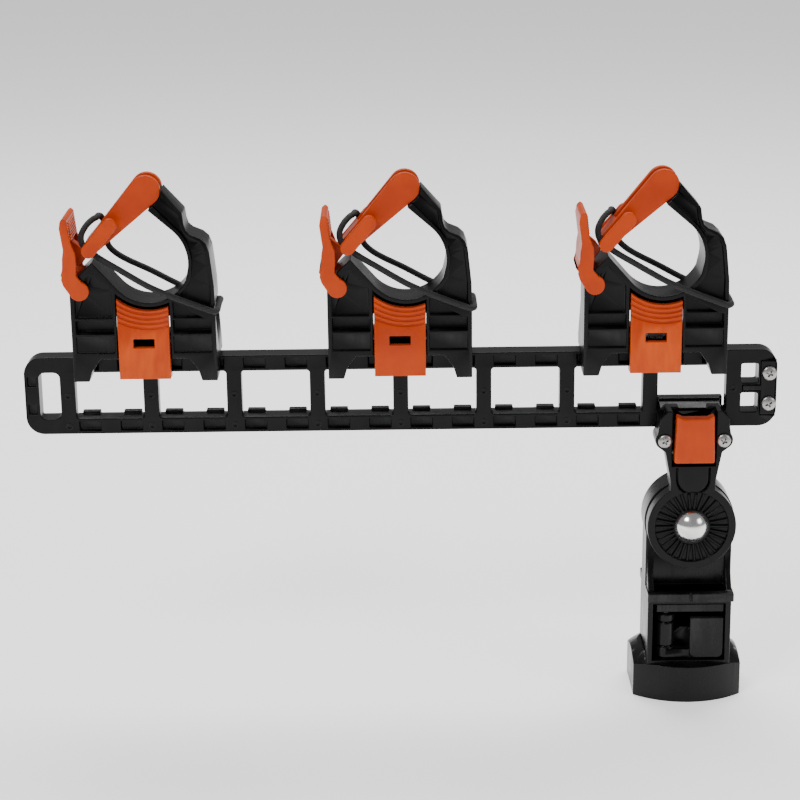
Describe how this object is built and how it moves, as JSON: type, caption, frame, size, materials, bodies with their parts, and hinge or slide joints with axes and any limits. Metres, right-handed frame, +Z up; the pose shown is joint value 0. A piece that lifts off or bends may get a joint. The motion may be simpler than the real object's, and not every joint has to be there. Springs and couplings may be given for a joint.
{
  "type": "fishing rod rail holder",
  "caption": "Ladder-frame rail with clip-on gated rod cradles, carried by a tilting rosette mast on a plug-in deck foot with a hinged lock.",
  "frame": {"origin": "centre of the deck socket's mouth, in the plane of the foot's underside", "axes": "+X along the rail towards its short end, -Y towards the user (button, latch and lever side), +Z up the mast"},
  "size_m": [0.376, 0.0528, 0.2758],
  "materials": {
    "black_plastic": "moulded nylon, satin black with a fine texture",
    "base_plastic": "moulded nylon, slightly glossier black",
    "orange_plastic": "moulded orange plastic, satin gloss",
    "elastic_fabric": "braided black elastic",
    "screw_steel": "stainless, machined heads",
    "pin_steel": "ground stainless pin",
    "spring_steel": "spring wire",
    "washer_steel": "stainless sheet",
    "bolt_chrome": "polished domed head",
    "friction_rubber": "dark grip washer"
  },
  "bodies": {
    "base": {"foot": "base_plastic", "foot_screws": "screw_steel", "base_bracket": "base_plastic", "lock_pin": "pin_steel", "lock_spring": "spring_steel", "friction_washer": "friction_rubber", "flat_washer": "washer_steel"},
    "head": {"rail_frame": "black_plastic", "end_plate": "black_plastic", "end_screws": "screw_steel", "clip_front": "black_plastic", "clip_rear": "black_plastic", "clip_screws": "screw_steel", "button_pin": "pin_steel", "button_spring": "spring_steel", "carriage_bolt": "bolt_chrome", "cradle_body_1": "black_plastic", "gate_pin_1": "pin_steel", "catch_pin_1": "pin_steel", "latch_pin_1": "pin_steel", "latch_spring_1": "spring_steel", "elastic_cord_1": "elastic_fabric", "cradle_body_2": "black_plastic", "gate_pin_2": "pin_steel", "catch_pin_2": "pin_steel", "latch_pin_2": "pin_steel", "latch_spring_2": "spring_steel", "elastic_cord_2": "elastic_fabric", "cradle_body_3": "black_plastic", "gate_pin_3": "pin_steel", "catch_pin_3": "pin_steel", "latch_pin_3": "pin_steel", "latch_spring_3": "spring_steel", "elastic_cord_3": "elastic_fabric"},
    "knob": {"clamp_knob": "black_plastic", "knob_nut": "washer_steel"},
    "release_button": {"release_button": "orange_plastic"},
    "lock_lever": {"lock_lever": "base_plastic"},
    "lock_slide": {"lock_slide": "washer_steel"},
    "gate_1": {"gate_1": "orange_plastic"},
    "catch_1": {"catch_lever_1": "orange_plastic"},
    "latch_1": {"rail_latch_1": "orange_plastic"},
    "gate_2": {"gate_2": "orange_plastic"},
    "catch_2": {"catch_lever_2": "orange_plastic"},
    "latch_2": {"rail_latch_2": "orange_plastic"},
    "gate_3": {"gate_3": "orange_plastic"},
    "catch_3": {"catch_lever_3": "orange_plastic"},
    "latch_3": {"rail_latch_3": "orange_plastic"}
  },
  "joints": [
    {"name": "mast_tilt", "type": "hinge", "parent": "base", "child": "head", "pos_m": [0, -0.0108, 0.0935], "axis": [0, 1, 0], "range_deg": [-75, 75]},
    {"name": "knob_turn", "type": "hinge", "parent": "base", "child": "knob", "pos_m": [0, 0.015, 0.0935], "axis": [0, 1, 0], "continuous": true},
    {"name": "rail_release", "type": "hinge", "parent": "head", "child": "release_button", "pos_m": [0, -0.015, 0.132], "axis": [1, 0, 0], "range_deg": [0, 12], "stiffness_Nm_per_rad": 0.12, "springref_deg": -14.32},
    {"name": "deck_lock", "type": "hinge", "parent": "base", "child": "lock_lever", "pos_m": [-0.0115, -0.0145, 0.034], "axis": [0, 0, -1], "range_deg": [0, 50], "stiffness_Nm_per_rad": 0.06, "springref_deg": -20.05},
    {"name": "lock_travel", "type": "slide", "parent": "base", "child": "lock_slide", "axis": [1, 0, 0], "range_m": [0, 0.003]},
    {"name": "catch_swing_1", "type": "hinge", "parent": "head", "child": "catch_1", "pos_m": [-0.3006, -0.013, 0.2208], "axis": [0, -1, 0], "range_deg": [0, 75]},
    {"name": "gate_swing_1", "type": "hinge", "parent": "head", "child": "gate_1", "pos_m": [-0.2674, -0.013, 0.2684], "axis": [0, 1, 0], "range_deg": [0, 49], "deforming": ["elastic_cord_1"]},
    {"name": "latch_tip_1", "type": "hinge", "parent": "head", "child": "latch_1", "pos_m": [-0.2704, -0.0176, 0.194], "axis": [-1, 0, 0], "range_deg": [0, 8], "stiffness_Nm_per_rad": 0.12, "springref_deg": -14.32},
    {"name": "catch_swing_2", "type": "hinge", "parent": "head", "child": "catch_2", "pos_m": [-0.1758, -0.013, 0.2208], "axis": [0, -1, 0], "range_deg": [0, 75]},
    {"name": "gate_swing_2", "type": "hinge", "parent": "head", "child": "gate_2", "pos_m": [-0.1426, -0.013, 0.2684], "axis": [0, 1, 0], "range_deg": [0, 49], "deforming": ["elastic_cord_2"]},
    {"name": "latch_tip_2", "type": "hinge", "parent": "head", "child": "latch_2", "pos_m": [-0.1456, -0.0176, 0.194], "axis": [-1, 0, 0], "range_deg": [0, 8], "stiffness_Nm_per_rad": 0.12, "springref_deg": -14.32},
    {"name": "catch_swing_3", "type": "hinge", "parent": "head", "child": "catch_3", "pos_m": [-0.051, -0.013, 0.2208], "axis": [0, -1, 0], "range_deg": [0, 75]},
    {"name": "gate_swing_3", "type": "hinge", "parent": "head", "child": "gate_3", "pos_m": [-0.0178, -0.013, 0.2684], "axis": [0, 1, 0], "range_deg": [0, 49], "deforming": ["elastic_cord_3"]},
    {"name": "latch_tip_3", "type": "hinge", "parent": "head", "child": "latch_3", "pos_m": [-0.0208, -0.0176, 0.194], "axis": [-1, 0, 0], "range_deg": [0, 8], "stiffness_Nm_per_rad": 0.12, "springref_deg": -14.32}
  ],
  "couplings": [
    {"joint": "deck_lock", "follows": "lock_travel", "rad_per_m": 290.89},
    {"joint": "gate_swing_1", "follows": "catch_swing_1", "ratio": 0.64},
    {"joint": "gate_swing_2", "follows": "catch_swing_2", "ratio": 0.64},
    {"joint": "gate_swing_3", "follows": "catch_swing_3", "ratio": 0.64}
  ]
}
